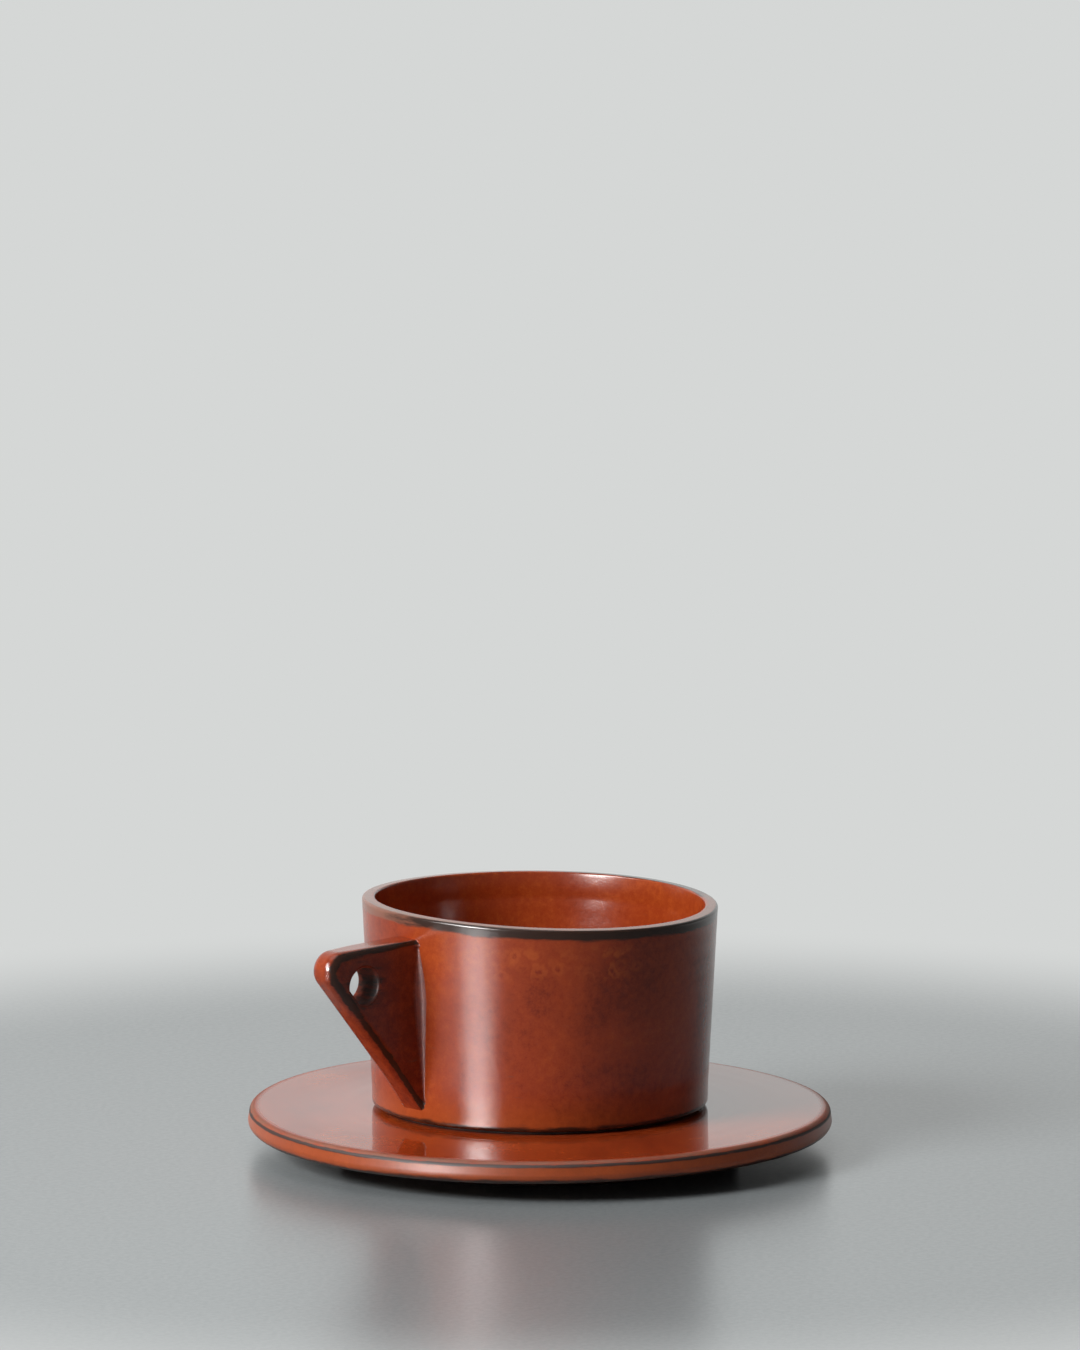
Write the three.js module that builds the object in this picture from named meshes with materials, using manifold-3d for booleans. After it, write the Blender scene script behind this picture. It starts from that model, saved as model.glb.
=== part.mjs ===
// A hand-thrown stoneware coffee cup that stands loose on its saucer, in millimetres with +Z up.
// The origin is the middle of the saucer's foot on the table, and the handle points along -X.

import * as THREE from 'three';
import { mergeVertices } from 'three/addons/utils/BufferGeometryUtils.js';
import Module from 'manifold-3d';

// Saucer
const SAUCER_DIAMETER = 150;
const SAUCER_PLATE_THICKNESS = 6.5;
const SAUCER_LIP_RISE = 0.4; // how far the edge is turned up above the flat
const SAUCER_LIP_WIDTH = 4;
const SAUCER_SHOULDER_RADIUS = 1.8; // rounding between the lip and the outer face
const SAUCER_EDGE_HEIGHT = 6.2; // top of the lip down to the lower corner of the outer face
const SAUCER_EDGE_SLANT = 3; // how far that lower corner is drawn in
const SAUCER_FOOT_DIAMETER = 102;
const SAUCER_FOOT_WIDTH = 6;
const SAUCER_FOOT_HEIGHT = 5;
const SAUCER_FOOT_MARGIN = 4; // flat underside left outside the foot
const SAUCER_FOOT_ROUNDING = 0.8;

// Cup
const CUP_HEIGHT = 53.8; // foot to the middle of the rim
const CUP_MOUTH_DIAMETER = 91.4;
const CUP_BASE_DIAMETER = 86.2;
const CUP_BASE_ROUNDING = 1;
const CUP_RIM_THICKNESS = 3.3;
const CUP_WALL_AT_FLOOR = 4.4;
const CUP_FLOOR_THICKNESS = 5;
const CUP_FLOOR_FILLET = 9;
const CUP_UNDERSIDE_RECESS = 1.8;
const CUP_FOOT_INSET = 2.4; // wall's lower edge in to the foot ring
const CUP_FOOT_WIDTH = 5;
const CUP_FOOT_HEIGHT = 0.8;
const CUP_FOOT_ROUNDING = 0.3;

// The rim was thrown a little out of level
const RIM_RISE = 1.1;
const RIM_RISE_TOWARDS = THREE.MathUtils.degToRad(138.5);

// Handle
const HANDLE_REACH = 28.4; // wall out to the tip
const HANDLE_BELOW_RIM = 5.2;
const HANDLE_TOP_DROOP = 0.8; // how far the top edge falls towards the tip
const HANDLE_ROOT_ABOVE_BASE = 3.5; // lower end of the root above the wall's lower edge
const HANDLE_THICKNESS = 8.4;
const HANDLE_TIP_RADIUS = 5;
const HANDLE_EDGE_ROUNDING = 2;
const HANDLE_ROOT_FILLET = 2.4;
const HANDLE_JOINT_GAP = 0.3;
const HOLE_DIAMETER = 9.2;
const HOLE_EDGE_ROUNDING = 0.8;
const HOLE_FROM_TIP = 11.4;
const HOLE_BELOW_TOP = 10;

// Fineness of round forms
const TURN_SEGMENTS = 72;
const HOLE_SEGMENTS = 28;
const ARC_STEPS = 3;
const FOOT_ARC_STEPS = 1;
const BEVEL_STEPS = 4;
const TIP_STEPS = 8;

const RIGHT_ANGLE = Math.PI / 2;

const saucerHeight = SAUCER_FOOT_HEIGHT + SAUCER_PLATE_THICKNESS;
const saucerRadius = SAUCER_DIAMETER / 2;
const saucerFootRadius = SAUCER_FOOT_DIAMETER / 2;
const mouthRadius = CUP_MOUTH_DIAMETER / 2;
const baseRadius = CUP_BASE_DIAMETER / 2;
const cupFootRadius = baseRadius - CUP_FOOT_INSET;
const cupFootInnerRadius = cupFootRadius - CUP_FOOT_WIDTH;
const rimRadius = CUP_RIM_THICKNESS / 2;
const rimHeight = CUP_HEIGHT - rimRadius;
const wallFoot = CUP_FOOT_HEIGHT + CUP_BASE_ROUNDING;
const wallSlope = (mouthRadius - baseRadius) / (rimHeight - wallFoot);
const floorHeight = CUP_FOOT_HEIGHT + CUP_FLOOR_THICKNESS;
const handleTop = CUP_HEIGHT - HANDLE_BELOW_RIM;
const handleBottom = CUP_FOOT_HEIGHT + HANDLE_ROOT_ABOVE_BASE;
const handleTip = outerWallRadius(handleTop) + HANDLE_REACH;

const glaze = new THREE.MeshStandardMaterial({ color: 0x9c4526, roughness: 0.25, metalness: 0 });
const handleGlaze = new THREE.MeshStandardMaterial({ color: 0x7c3018, roughness: 0.25, metalness: 0 });
const saucerGlaze = new THREE.MeshStandardMaterial({ color: 0xa44c2b, roughness: 0.2, metalness: 0 });
const bareClay = new THREE.MeshStandardMaterial({ color: 0x4a3428, roughness: 0.85, metalness: 0 });

const wasm = await Module();
wasm.setup();

function outerWallRadius(height) {
  return baseRadius + wallSlope * (height - wallFoot);
}

// Turns a half profile of radius and height about the Z axis
function turned(profile, arcSteps = ARC_STEPS) {
  const geometry = new THREE.LatheGeometry(profile.getPoints(arcSteps), TURN_SEGMENTS);
  return geometry.rotateX(RIGHT_ANGLE);
}

function toSolid(geometry) {
  const bare = geometry.clone();
  bare.deleteAttribute('normal');
  bare.deleteAttribute('uv');
  const merged = mergeVertices(bare);
  const corners = merged.index.array;
  const triangles = [];
  for (let i = 0; i < corners.length; i += 3) {
    const [a, b, c] = corners.slice(i, i + 3);
    if (a !== b && b !== c && c !== a) triangles.push(a, b, c);
  }
  const vertProperties = new Float32Array(merged.attributes.position.array);
  const triVerts = new Uint32Array(triangles);
  return new wasm.Manifold(new wasm.Mesh({ numProp: 3, vertProperties, triVerts }));
}

function toGeometry(solid) {
  const { vertProperties, triVerts } = solid.getMesh();
  const geometry = new THREE.BufferGeometry();
  geometry.setAttribute('position', new THREE.BufferAttribute(vertProperties, 3));
  geometry.setIndex(new THREE.BufferAttribute(triVerts, 1));
  geometry.computeVertexNormals();
  return geometry;
}

function namedMesh(name, geometry, material) {
  const mesh = new THREE.Mesh(geometry, material);
  mesh.name = name;
  return mesh;
}

// A ring with a square upper edge and a rounded lower one
function footRing(outer, width, height, rounding) {
  const inner = outer - width;
  const profile = new THREE.Path();
  profile.moveTo(outer, height);
  profile.lineTo(inner, height);
  profile.absarc(inner + rounding, rounding, rounding, Math.PI, 3 * RIGHT_ANGLE, false);
  profile.absarc(outer - rounding, rounding, rounding, -RIGHT_ANGLE, 0, false);
  profile.lineTo(outer, height);
  return turned(profile, FOOT_ARC_STEPS);
}

function saucerPlate() {
  const shoulder = SAUCER_SHOULDER_RADIUS;
  const lipTop = saucerHeight + SAUCER_LIP_RISE;
  const lipRadius = saucerRadius - shoulder;
  const profile = new THREE.Path();
  profile.moveTo(0, SAUCER_FOOT_HEIGHT);
  profile.lineTo(saucerFootRadius + SAUCER_FOOT_MARGIN, SAUCER_FOOT_HEIGHT);
  profile.lineTo(saucerRadius - SAUCER_EDGE_SLANT, lipTop - SAUCER_EDGE_HEIGHT);
  profile.absarc(lipRadius, lipTop - shoulder, shoulder, 0, RIGHT_ANGLE, false);
  profile.lineTo(lipRadius - SAUCER_LIP_WIDTH, saucerHeight);
  profile.lineTo(0, saucerHeight);
  return turned(profile);
}

// Raises the rim towards one side, fading out down to the floor
function unlevelRim(geometry) {
  const position = geometry.attributes.position;
  const side = new THREE.Vector2(Math.cos(RIM_RISE_TOWARDS), Math.sin(RIM_RISE_TOWARDS));
  for (let i = 0; i < position.count; i += 1) {
    const across = (position.getX(i) * side.x + position.getY(i) * side.y) / mouthRadius;
    const height = position.getZ(i);
    const climb = Math.max(0, (height - floorHeight) / (CUP_HEIGHT - floorHeight));
    position.setZ(i, height + RIM_RISE * across * climb * climb);
  }
  return geometry;
}

function cupBody() {
  const floorRadius = baseRadius - CUP_WALL_AT_FLOOR;
  const fillet = CUP_FLOOR_FILLET;
  const profile = new THREE.Path();
  profile.moveTo(0, CUP_FOOT_HEIGHT + CUP_UNDERSIDE_RECESS);
  profile.lineTo(cupFootInnerRadius - CUP_UNDERSIDE_RECESS, CUP_FOOT_HEIGHT + CUP_UNDERSIDE_RECESS);
  profile.lineTo(cupFootInnerRadius, CUP_FOOT_HEIGHT);
  profile.absarc(baseRadius - CUP_BASE_ROUNDING, wallFoot, CUP_BASE_ROUNDING, -RIGHT_ANGLE, 0, false);
  profile.absarc(mouthRadius - rimRadius, rimHeight, rimRadius, 0, Math.PI, false);
  profile.absarc(floorRadius - fillet, floorHeight + fillet, fillet, 0, -RIGHT_ANGLE, true);
  profile.lineTo(0, floorHeight);
  return unlevelRim(turned(profile));
}

// The handle's side view, as distance from the cup's axis and height: two straight edges and a round tip
function handleOutline(rootDepth) {
  const topRoot = new THREE.Vector2(outerWallRadius(handleTop), handleTop);
  const lowRoot = new THREE.Vector2(outerWallRadius(handleBottom), handleBottom);
  const radius = HANDLE_TIP_RADIUS;
  const tip = new THREE.Vector2(handleTip - radius, handleTop - HANDLE_TOP_DROOP - radius);
  const towardsTip = (root) => Math.atan2(tip.y - root.y, tip.x - root.x);
  const tangentTurn = (root) => Math.asin(radius / tip.distanceTo(root));
  const topAngle = towardsTip(topRoot) + tangentTurn(topRoot);
  const lowAngle = towardsTip(lowRoot) - tangentTurn(lowRoot);
  const inner = lowRoot.x - rootDepth;
  const shape = new THREE.Shape();
  shape.moveTo(inner, topRoot.y - (topRoot.x - inner) * Math.tan(topAngle));
  shape.lineTo(inner, lowRoot.y - rootDepth * Math.tan(lowAngle));
  shape.absarc(tip.x, tip.y, radius, lowAngle - RIGHT_ANGLE, topAngle + RIGHT_ANGLE, false);
  shape.closePath();
  return shape;
}

// A slab of the handle's outline with all its edges rounded, standing in the XZ plane
function handleSlab(thickness, rootDepth) {
  const geometry = new THREE.ExtrudeGeometry(handleOutline(rootDepth), {
    depth: thickness - 2 * HANDLE_EDGE_ROUNDING,
    curveSegments: TIP_STEPS,
    bevelSegments: BEVEL_STEPS,
    bevelThickness: HANDLE_EDGE_ROUNDING,
    bevelSize: HANDLE_EDGE_ROUNDING,
    bevelOffset: -HANDLE_EDGE_ROUNDING,
  });
  geometry.translate(0, 0, HANDLE_EDGE_ROUNDING - thickness / 2);
  const outwards = new THREE.Vector3(-1, 0, 0);
  const upwards = new THREE.Vector3(0, 0, 1);
  const across = new THREE.Vector3(0, 1, 0);
  return geometry.applyMatrix4(new THREE.Matrix4().makeBasis(outwards, upwards, across));
}

// The flared root in plan, with a fillet on each side that runs out along the wall, leaning with the wall
function handleRoot(rootDepth) {
  const half = HANDLE_THICKNESS / 2;
  const fillet = HANDLE_ROOT_FILLET;
  const centreY = half + fillet;
  const centreX = Math.sqrt((baseRadius + fillet) ** 2 - centreY ** 2);
  const wallAngle = Math.PI + Math.atan2(centreY, centreX);
  const inner = baseRadius - rootDepth;
  const shape = new THREE.Shape();
  shape.moveTo(inner, centreY);
  shape.lineTo(inner, -centreY);
  shape.absarc(centreX, -centreY, fillet, -wallAngle, RIGHT_ANGLE - 2 * Math.PI, true);
  shape.absarc(centreX, centreY, fillet, 3 * RIGHT_ANGLE, wallAngle, true);
  shape.closePath();
  const geometry = new THREE.ExtrudeGeometry(shape, {
    depth: CUP_HEIGHT,
    curveSegments: TIP_STEPS,
    bevelEnabled: false,
  });
  geometry.rotateZ(Math.PI);
  const lean = new THREE.Matrix4().makeShear(0, 0, 0, 0, -wallSlope, 0);
  return geometry.translate(0, 0, -wallFoot).applyMatrix4(lean).translate(0, 0, wallFoot);
}

// Everything inside the outer wall, past the top and the bottom of the cup, with the joint's gap
function wallCutter() {
  const below = -CUP_HEIGHT;
  const above = 2 * CUP_HEIGHT;
  const profile = new THREE.Path();
  profile.moveTo(0, below);
  profile.lineTo(outerWallRadius(below) + HANDLE_JOINT_GAP, below);
  profile.lineTo(outerWallRadius(above) + HANDLE_JOINT_GAP, above);
  profile.lineTo(0, above);
  return turned(profile);
}

// A cutter for the round hole that also rounds its two edges
function holeCutter() {
  const half = HANDLE_THICKNESS / 2;
  const waist = HOLE_DIAMETER / 2;
  const mouth = waist + HOLE_EDGE_ROUNDING;
  const bend = half - HOLE_EDGE_ROUNDING;
  const profile = new THREE.Path();
  profile.moveTo(0, -HANDLE_THICKNESS);
  profile.lineTo(mouth, -HANDLE_THICKNESS);
  profile.absarc(mouth, -bend, HOLE_EDGE_ROUNDING, 3 * RIGHT_ANGLE, Math.PI, true);
  profile.absarc(mouth, bend, HOLE_EDGE_ROUNDING, Math.PI, RIGHT_ANGLE, true);
  profile.lineTo(mouth, HANDLE_THICKNESS);
  profile.lineTo(0, HANDLE_THICKNESS);
  const geometry = new THREE.LatheGeometry(profile.getPoints(ARC_STEPS), HOLE_SEGMENTS);
  return geometry.translate(HOLE_FROM_TIP - handleTip, 0, handleTop - HOLE_BELOW_TOP);
}

function handle() {
  const rootDepth = CUP_RIM_THICKNESS;
  const slab = toSolid(handleSlab(HANDLE_THICKNESS, rootDepth));
  const rootLimit = toSolid(handleSlab(HANDLE_THICKNESS + 2 * HANDLE_ROOT_FILLET, rootDepth));
  const root = toSolid(handleRoot(rootDepth)).intersect(rootLimit);
  const solid = slab.add(root).subtract(toSolid(wallCutter())).subtract(toSolid(holeCutter()));
  return toGeometry(solid);
}

const saucer = new THREE.Group();
saucer.name = 'saucer';
const saucerRing = footRing(saucerFootRadius, SAUCER_FOOT_WIDTH, SAUCER_FOOT_HEIGHT, SAUCER_FOOT_ROUNDING);
saucer.add(namedMesh('saucer_foot_ring', saucerRing, bareClay));
saucer.add(namedMesh('saucer_plate', saucerPlate(), saucerGlaze));

const cup = new THREE.Group();
cup.name = 'cup';
cup.position.z = saucerHeight;
const cupRing = footRing(cupFootRadius, CUP_FOOT_WIDTH, CUP_FOOT_HEIGHT, CUP_FOOT_ROUNDING);
cup.add(namedMesh('cup_foot_ring', cupRing, bareClay));
cup.add(namedMesh('cup_body', cupBody(), glaze));
cup.add(namedMesh('handle', handle(), handleGlaze));

const cupAndSaucer = new THREE.Group();
cupAndSaucer.name = 'cup_and_saucer';
cupAndSaucer.add(saucer, cup);

export default cupAndSaucer;
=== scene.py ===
"""A stoneware cup and saucer in a rust-red reactive glaze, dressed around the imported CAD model.

Lengths are in millimetres until a mesh, a lamp or the camera is made, which takes metres.
"""

import math

import bmesh
import bpy
import numpy as np
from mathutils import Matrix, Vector


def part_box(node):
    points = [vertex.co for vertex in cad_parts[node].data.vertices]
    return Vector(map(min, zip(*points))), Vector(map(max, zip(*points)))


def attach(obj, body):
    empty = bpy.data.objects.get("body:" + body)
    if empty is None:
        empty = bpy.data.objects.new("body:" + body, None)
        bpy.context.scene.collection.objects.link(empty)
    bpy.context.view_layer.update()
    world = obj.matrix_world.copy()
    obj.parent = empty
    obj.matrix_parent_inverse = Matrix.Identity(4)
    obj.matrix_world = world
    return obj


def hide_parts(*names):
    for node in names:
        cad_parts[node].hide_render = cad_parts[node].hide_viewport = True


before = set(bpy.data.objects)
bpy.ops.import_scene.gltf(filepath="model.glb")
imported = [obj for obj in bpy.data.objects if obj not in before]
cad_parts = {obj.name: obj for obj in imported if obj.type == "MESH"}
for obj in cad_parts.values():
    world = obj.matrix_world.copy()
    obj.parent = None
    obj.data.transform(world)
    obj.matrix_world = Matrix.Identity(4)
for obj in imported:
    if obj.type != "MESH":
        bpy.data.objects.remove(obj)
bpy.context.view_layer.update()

METRES = 0.001


def node_box(node):
    """Lowest and highest corner of a CAD node in millimetres."""
    low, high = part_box(node)
    return np.array(low) / METRES, np.array(high) / METRES


plate_low, plate_high = node_box("saucer_plate")
saucer_foot_low, saucer_foot_high = node_box("saucer_foot_ring")
body_low, body_high = node_box("cup_body")
cup_foot_low, cup_foot_high = node_box("cup_foot_ring")
handle_low, handle_high = node_box("handle")

# Saucer
SAUCER_RADIUS = plate_high[0]
SAUCER_UNDERSIDE = plate_low[2]
SAUCER_TOP = cup_foot_low[2]
SAUCER_LIP_TOP = plate_high[2]
SAUCER_LIP_WIDTH = 22.0
SAUCER_SHOULDER_RADIUS = 1.5
SAUCER_EDGE_HEIGHT = 5.8
SAUCER_EDGE_LEAN = 0.3
SAUCER_FOOT_RADIUS = saucer_foot_high[0]
SAUCER_FOOT_WIDTH = 6.0
SAUCER_FOOT_MARGIN = 4.0
SAUCER_FOOT_ROUNDING = 0.8
SAUCER_CORNER_ROUNDING = 2.4
SAUCER_CORNER_START = -86
SAUCER_WARP_DROP = 0.45
SAUCER_WARP_FRONT = 0.5
SAUCER_WARP_LEAN = 0.15
SAUCER_WARP_TWIST = 0.25
SAUCER_WARP_CLEARANCE = 4.0
SAUCER_WARP_POWER = 1.5

# Cup
SEAT = cup_foot_low[2]
MOUTH_RADIUS = body_high[0]
CUP_FOOT_RADIUS = cup_foot_high[0]
CUP_FOOT_INSET = 2.4
CUP_FOOT_WIDTH = 5.0
CUP_FOOT_ROUNDING = 0.3
BASE_RADIUS = CUP_FOOT_RADIUS + CUP_FOOT_INSET
BASE_HEIGHT = body_low[2]
BASE_ROUNDING = 1.0
RIM_HEIGHT = SEAT + 53.4
RIM_THICKNESS = 3.3
LIP_OUTER_ROUNDING = 0.7
LIP_INNER_ROUNDING = 0.5
LIP_SLANT = 0.12
LIP_FLARE = 0.36
LIP_FLARE_HEIGHT = 6.0
WALL_AT_FLOOR = 4.4
FLOOR_HEIGHT = BASE_HEIGHT + 5.0
FLOOR_FILLET = 9.0
UNDERSIDE_RECESS = 1.8
RIM_RISE = 1.15
RIM_RISE_TOWARDS = math.radians(131)
RIM_TWIST = 0.35
RIM_CENTRE = RIM_HEIGHT - RIM_THICKNESS / 2
WALL_FOOT = BASE_HEIGHT + BASE_ROUNDING
WALL_SLOPE = (MOUTH_RADIUS - BASE_RADIUS) / (RIM_CENTRE - WALL_FOOT)

# Handle
HANDLE_TIP = -handle_low[0]
HANDLE_TOP = handle_high[2]
HANDLE_BOTTOM = handle_low[2]
HANDLE_TOP_DROOP = 0.8
HANDLE_THICKNESS = 8.4
HANDLE_TIP_RADIUS = 5.0
HANDLE_TOP_ROUNDING = 1.6
HANDLE_LOWER_ROUNDING = 3.0
HANDLE_LOW_ROOT_ROUNDING = 1.4
HANDLE_TOP_EASING = 9.0
HANDLE_ROOT_FILLET = 3.6
HANDLE_LEAST_FILLET = 0.2
HANDLE_FILLET_RUN_OUT = 17.0
HANDLE_ROOT_DEPTH = 1.2
ROOT_SPREAD_IN_WALL = 3.0
HOLE_RADIUS = 4.6
HOLE_EDGE_ROUNDING = 0.8
HOLE_FROM_TIP = 11.4
HOLE_BELOW_TOP = 10.0
LOWER_ROUNDING_START = -2.0
LOWER_ROUNDING_FULL = 8.0
TANGENT_MARGIN = 0.01

# Fineness of the meshes, and how close counts as touching or parallel
TURN_SEGMENTS = 256
PROFILE_STEP = 0.7
ROUND_STEP = 0.25
OUTLINE_STEP = 0.45
OUTLINE_SAMPLES = 4000
SAUCER_LIP_ROWS = 14
LIP_FLARE_ROWS = 9
HOLE_WAIST_ROWS = 4
HOLE_EDGE_ROWS = 7
HANDLE_FLAT_ROWS = 40
HANDLE_EDGE_ROWS = 11
HANDLE_RIM_ROWS = 5
FLOOR_CORNERS = 128
SAME_POINT = 1e-6
PARALLEL = 1e-9

# Hand work: throwing rings, turning lines and a touch of wobble, with waves in radians per millimetre
RING_SPACING = 5.5
RING_DEPTH = 0.012
RING_EASING = 5.0
SAUCER_RING_DEPTH = 0.006
SAUCER_FINE_WAVE = 3.1
SAUCER_FINE_SHARE = 0.6
WOBBLE = 0.12
WOBBLE_PHASE = 0.8
TURNING_LINE_DEPTH = 0.04
TURNING_LINE_WAVE = 9.0
TURNING_LINE_DRIFT = 3.0

# Colours, as they look under plain light
ORANGE = (190, 86, 34)
RUST = (158, 60, 24)
MAROON = (112, 34, 13)
OCHRE = (176, 92, 38)
EDGE_BROWN = (44, 27, 19)
# The pale tan below is partly the glaze's own colour on the lip and partly a painted highlight along the
# lip's crest and the saucer's shoulder
EDGE_PALE_AND_HIGHLIGHT = (138, 90, 70)
SPECK = (54, 20, 9)
CLAY = (74, 50, 38)
CLAY_DARK = (40, 27, 21)
FLOOR_GREY = (152, 157, 158)
FLOOR_DARK_GREY = (136, 142, 144)
BACKDROP_GREY = (213, 215, 214)

# Where the glaze thins to dark brown on the lip, in degrees about the axis from the camera to the right
LIP_DARK_MIDDLE = 58
LIP_DARK_FULL = 90
LIP_DARK_END = 132
LIP_TOP_DARK_MIDDLE = 140
LIP_TOP_DARK_FULL = 18
LIP_TOP_DARK_END = 45

# Blotches below the lip, and a stretch of wall beside the handle painted lighter and more orange, which is
# painted light that lifts the handle's shadow there, in the same degrees
BLOTCH_MIDDLE = 10
FAR_BLOTCH_MIDDLE = 150
PAINTED_LIGHT_MIDDLE = -38

# Where the glaze changes, in millimetres along the surface: down the saucer's edge from the top of its
# shoulder, down the cup from its lip, and over the handle from its hole, its tip or its low root
# The pale line on the saucer's shoulder is a painted highlight
SAUCER_PAINTED_HIGHLIGHT_AT = 0.8
SAUCER_DARK_LINE_AT = 1.9
SAUCER_FACE_AT = 1.8
# Brown from the saucer's lower corner inwards is painted shade under the saucer
SAUCER_UNDERSIDE_SHADE_START = 4.6
SAUCER_UNDERSIDE_SHADE_FULL = 6.6
BLOTCH_BELOW_LIP = 9.0
HOLE_MOUTH_BROWN_REACH = 3.5
TIP_BROWN_REACH = 34
TIP_BROWN_FULL = 6
# Near the low root the brown on the handle's edge widens as painted shade under the handle
LOW_ROOT_SHADE_REACH = 30
LOW_ROOT_SHADE_FULL = 10
HANDLE_BROWN_CORE = 0.05
TIP_BROWN_WIDER = 0.25
# The extra width near the low root is painted shade under the handle
LOW_ROOT_PAINTED_SHADE_WIDER = 0.4
HANDLE_BROWN_FADE = 0.8
TIP_BROWN_SOFTER = 0.8

# Where the brown line lies on the handle's rounded edge, in radians round from the flat
HANDLE_BROWN_TURN = 0.6

# How brown, pale, ochre or blotchy the glaze is in places, from 0 to 1
SAUCER_DARK_LINE = 0.9
# The saucer's pale shoulder line is a painted highlight
SAUCER_PAINTED_HIGHLIGHT_LINE = 0.6
SAUCER_FACE_OCHRE = 0.3
WALL_FOOT_OCHRE = 0.3
# The brown line at the cup's foot is painted shade where the wall meets the saucer
WALL_FOOT_PAINTED_SHADE = 0.8
LIP_TOP_BROWN = 0.8
LIP_INNER_BROWN = 0.32
HOLE_BROWN = 0.6
HOLE_BROWN_FADE = 0.25
HOLE_MOUTH_BROWN = 0.35
FAR_BLOTCH_SHARE = 0.7

# How warm the glaze is, from about 0 for maroon to 1 for orange
SAUCER_WARMTH = 0.45
INSIDE_WARMTH = 0.55
WALL_WARMTH = 0.33
WALL_TOP_WARMER = 0.05
# The stretch of wall beside the handle is painted lighter: painted light where the handle's shadow falls
WALL_PAINTED_LIGHT_BESIDE_HANDLE = 0.12
# The handle's flat faces are painted darker and more maroon, which is painted shade
HANDLE_FACE_PAINTED_SHADE = 0.28

# How rough the glaze is, from 0 for a mirror to 1, and what is added or taken off in places
SAUCER_ROUGH = 0.07
SAUCER_SHOULDER_ADDS = 0.63
SAUCER_FACE_TAKES = 0.38
WALL_ROUGH = 0.2
WALL_TOP_ADDS = 0.03
INSIDE_ROUGH = 0.16
INSIDE_TOP_ADDS = 0.06
HANDLE_ROUGH = 0.22
HANDLE_FILLET_ADDS = 0.2
HANDLE_TOP_TAKES = 0.1
HOLE_ROUGH = 0.8
HOLE_EDGE_TAKES = 0.58
ROUGH_SWING = 0.05

# Patterns in the materials: sizes and depths in millimetres, strengths and swings from 0 for none
POOL_SIZE = 24
MOTTLE_SIZE = 1.7
GRAIN_SIZE = 0.45
BLOTCH_SIZE = 3.4
BLOTCH_WARP = 3.0
BLOTCH_STRENGTH = 0.5
CELL_WARP_RATE = 1.5
SPECK_SPACING = 6
SPECK_STRENGTH = 0.16
STREAK_SIZE = 2.4
STREAK_STRETCH = (0.3, 0.3, 1.6)
STREAK_SWING = 1.4
# How strongly the pale tan shows, which is partly glaze colour and partly painted highlight
PALE_AND_HIGHLIGHT_STRENGTH = 0.85
BROWN_STRENGTH = 0.95
CUP_GRAIN_DEPTH = 0.08
SAUCER_GRAIN_DEPTH = 0.004
MOTTLE_DEPTH_SHARE = 0.3
GLAZE_IOR = 1.5
CLAY_PATCH_SIZE = 6
GRIT_SIZE = 0.5
GRIT_DEPTH = 0.12
FLOOR_GRAIN_SIZE = 1.6
FLOOR_GRAIN_DEPTH = 0.02
FLOOR_ROUGH = 0.28
FLOOR_IOR = 1.6

# Stage, in metres
FLOOR_RADIUS = 9
FLOOR_FADE_START = 0.2
FLOOR_FADE_END = 0.34
FLOOR_MIRROR_FADE = 0.3
LAMP_AIM_HEIGHT = 0.03

# Light around the stage: strengths, and the part of the backdrop that the glaze mirrors brightly, which is
# turned from the far side and runs between two cosines of the angle to its middle
AMBIENT = 0.07
MIRRORED_WALL_TURN = math.radians(15)
MIRRORED_WALL_START = 0.2
MIRRORED_WALL_FULL = 0.85
MIRRORED_ROOM_STRENGTH = 0.25
MIRRORED_WALL_STRENGTH = 1.4

# Camera
PHOTO_HEIGHT = 1350
FOCAL_PIXELS = 9118
SENSOR_MM = 36.0
CAMERA_AZIMUTH = math.radians(-41.5)
CAMERA_DISTANCE = 2304.0
CAMERA_HEIGHT = 452.0
CAMERA_PITCH = math.radians(8.13)


def linear(colour):
    """Scene-linear RGBA of an 8-bit sRGB colour."""
    share = np.array(colour) / 255
    low = share / 12.92
    high = ((share + 0.055) / 1.055) ** 2.4
    return (*np.where(share <= 0.04045, low, high).tolist(), 1.0)


def smooth(low, high, value):
    """Rises smoothly from 0 at low to 1 at high."""
    share = np.clip((value - low) / (high - low), 0, 1)
    return share * share * (3 - 2 * share)


def degrees_from(turn, middle):
    """Degrees about the axis between each turn and a direction counted from the camera to the right."""
    seen = np.degrees(turn - CAMERA_AZIMUTH) + 90
    return np.abs((seen - middle + 180) % 360 - 180)


# Profiles are rows of radius and height


def straight(start, end, step=PROFILE_STEP):
    start, end = np.array(start, float), np.array(end, float)
    count = max(1, math.ceil(np.linalg.norm(end - start) / step))
    share = np.linspace(0, 1, count + 1)[:, None]
    return start + (end - start) * share


def round_run(centre, radius, start_degrees, end_degrees, step=ROUND_STEP):
    sweep = math.radians(abs(end_degrees - start_degrees))
    count = max(3, math.ceil(sweep * radius / step))
    angle = np.radians(np.linspace(start_degrees, end_degrees, count + 1))
    return np.array(centre) + radius * np.column_stack((np.cos(angle), np.sin(angle)))


def chain(*runs):
    """Joins runs of profile points and drops points that coincide."""
    points = np.vstack(runs)
    gaps = np.linalg.norm(np.diff(points, axis=0), axis=1)
    return points[np.concatenate(([True], gaps > SAME_POINT))]


def along(profile):
    """Length along a profile at each of its points."""
    gaps = np.linalg.norm(np.diff(profile, axis=0), axis=1)
    return np.concatenate(([0], np.cumsum(gaps)))


def band(distance, core, fade):
    """1 up to the core's half width, then falling to 0 over the fade."""
    return smooth(core + fade, core, np.abs(distance))


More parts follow.
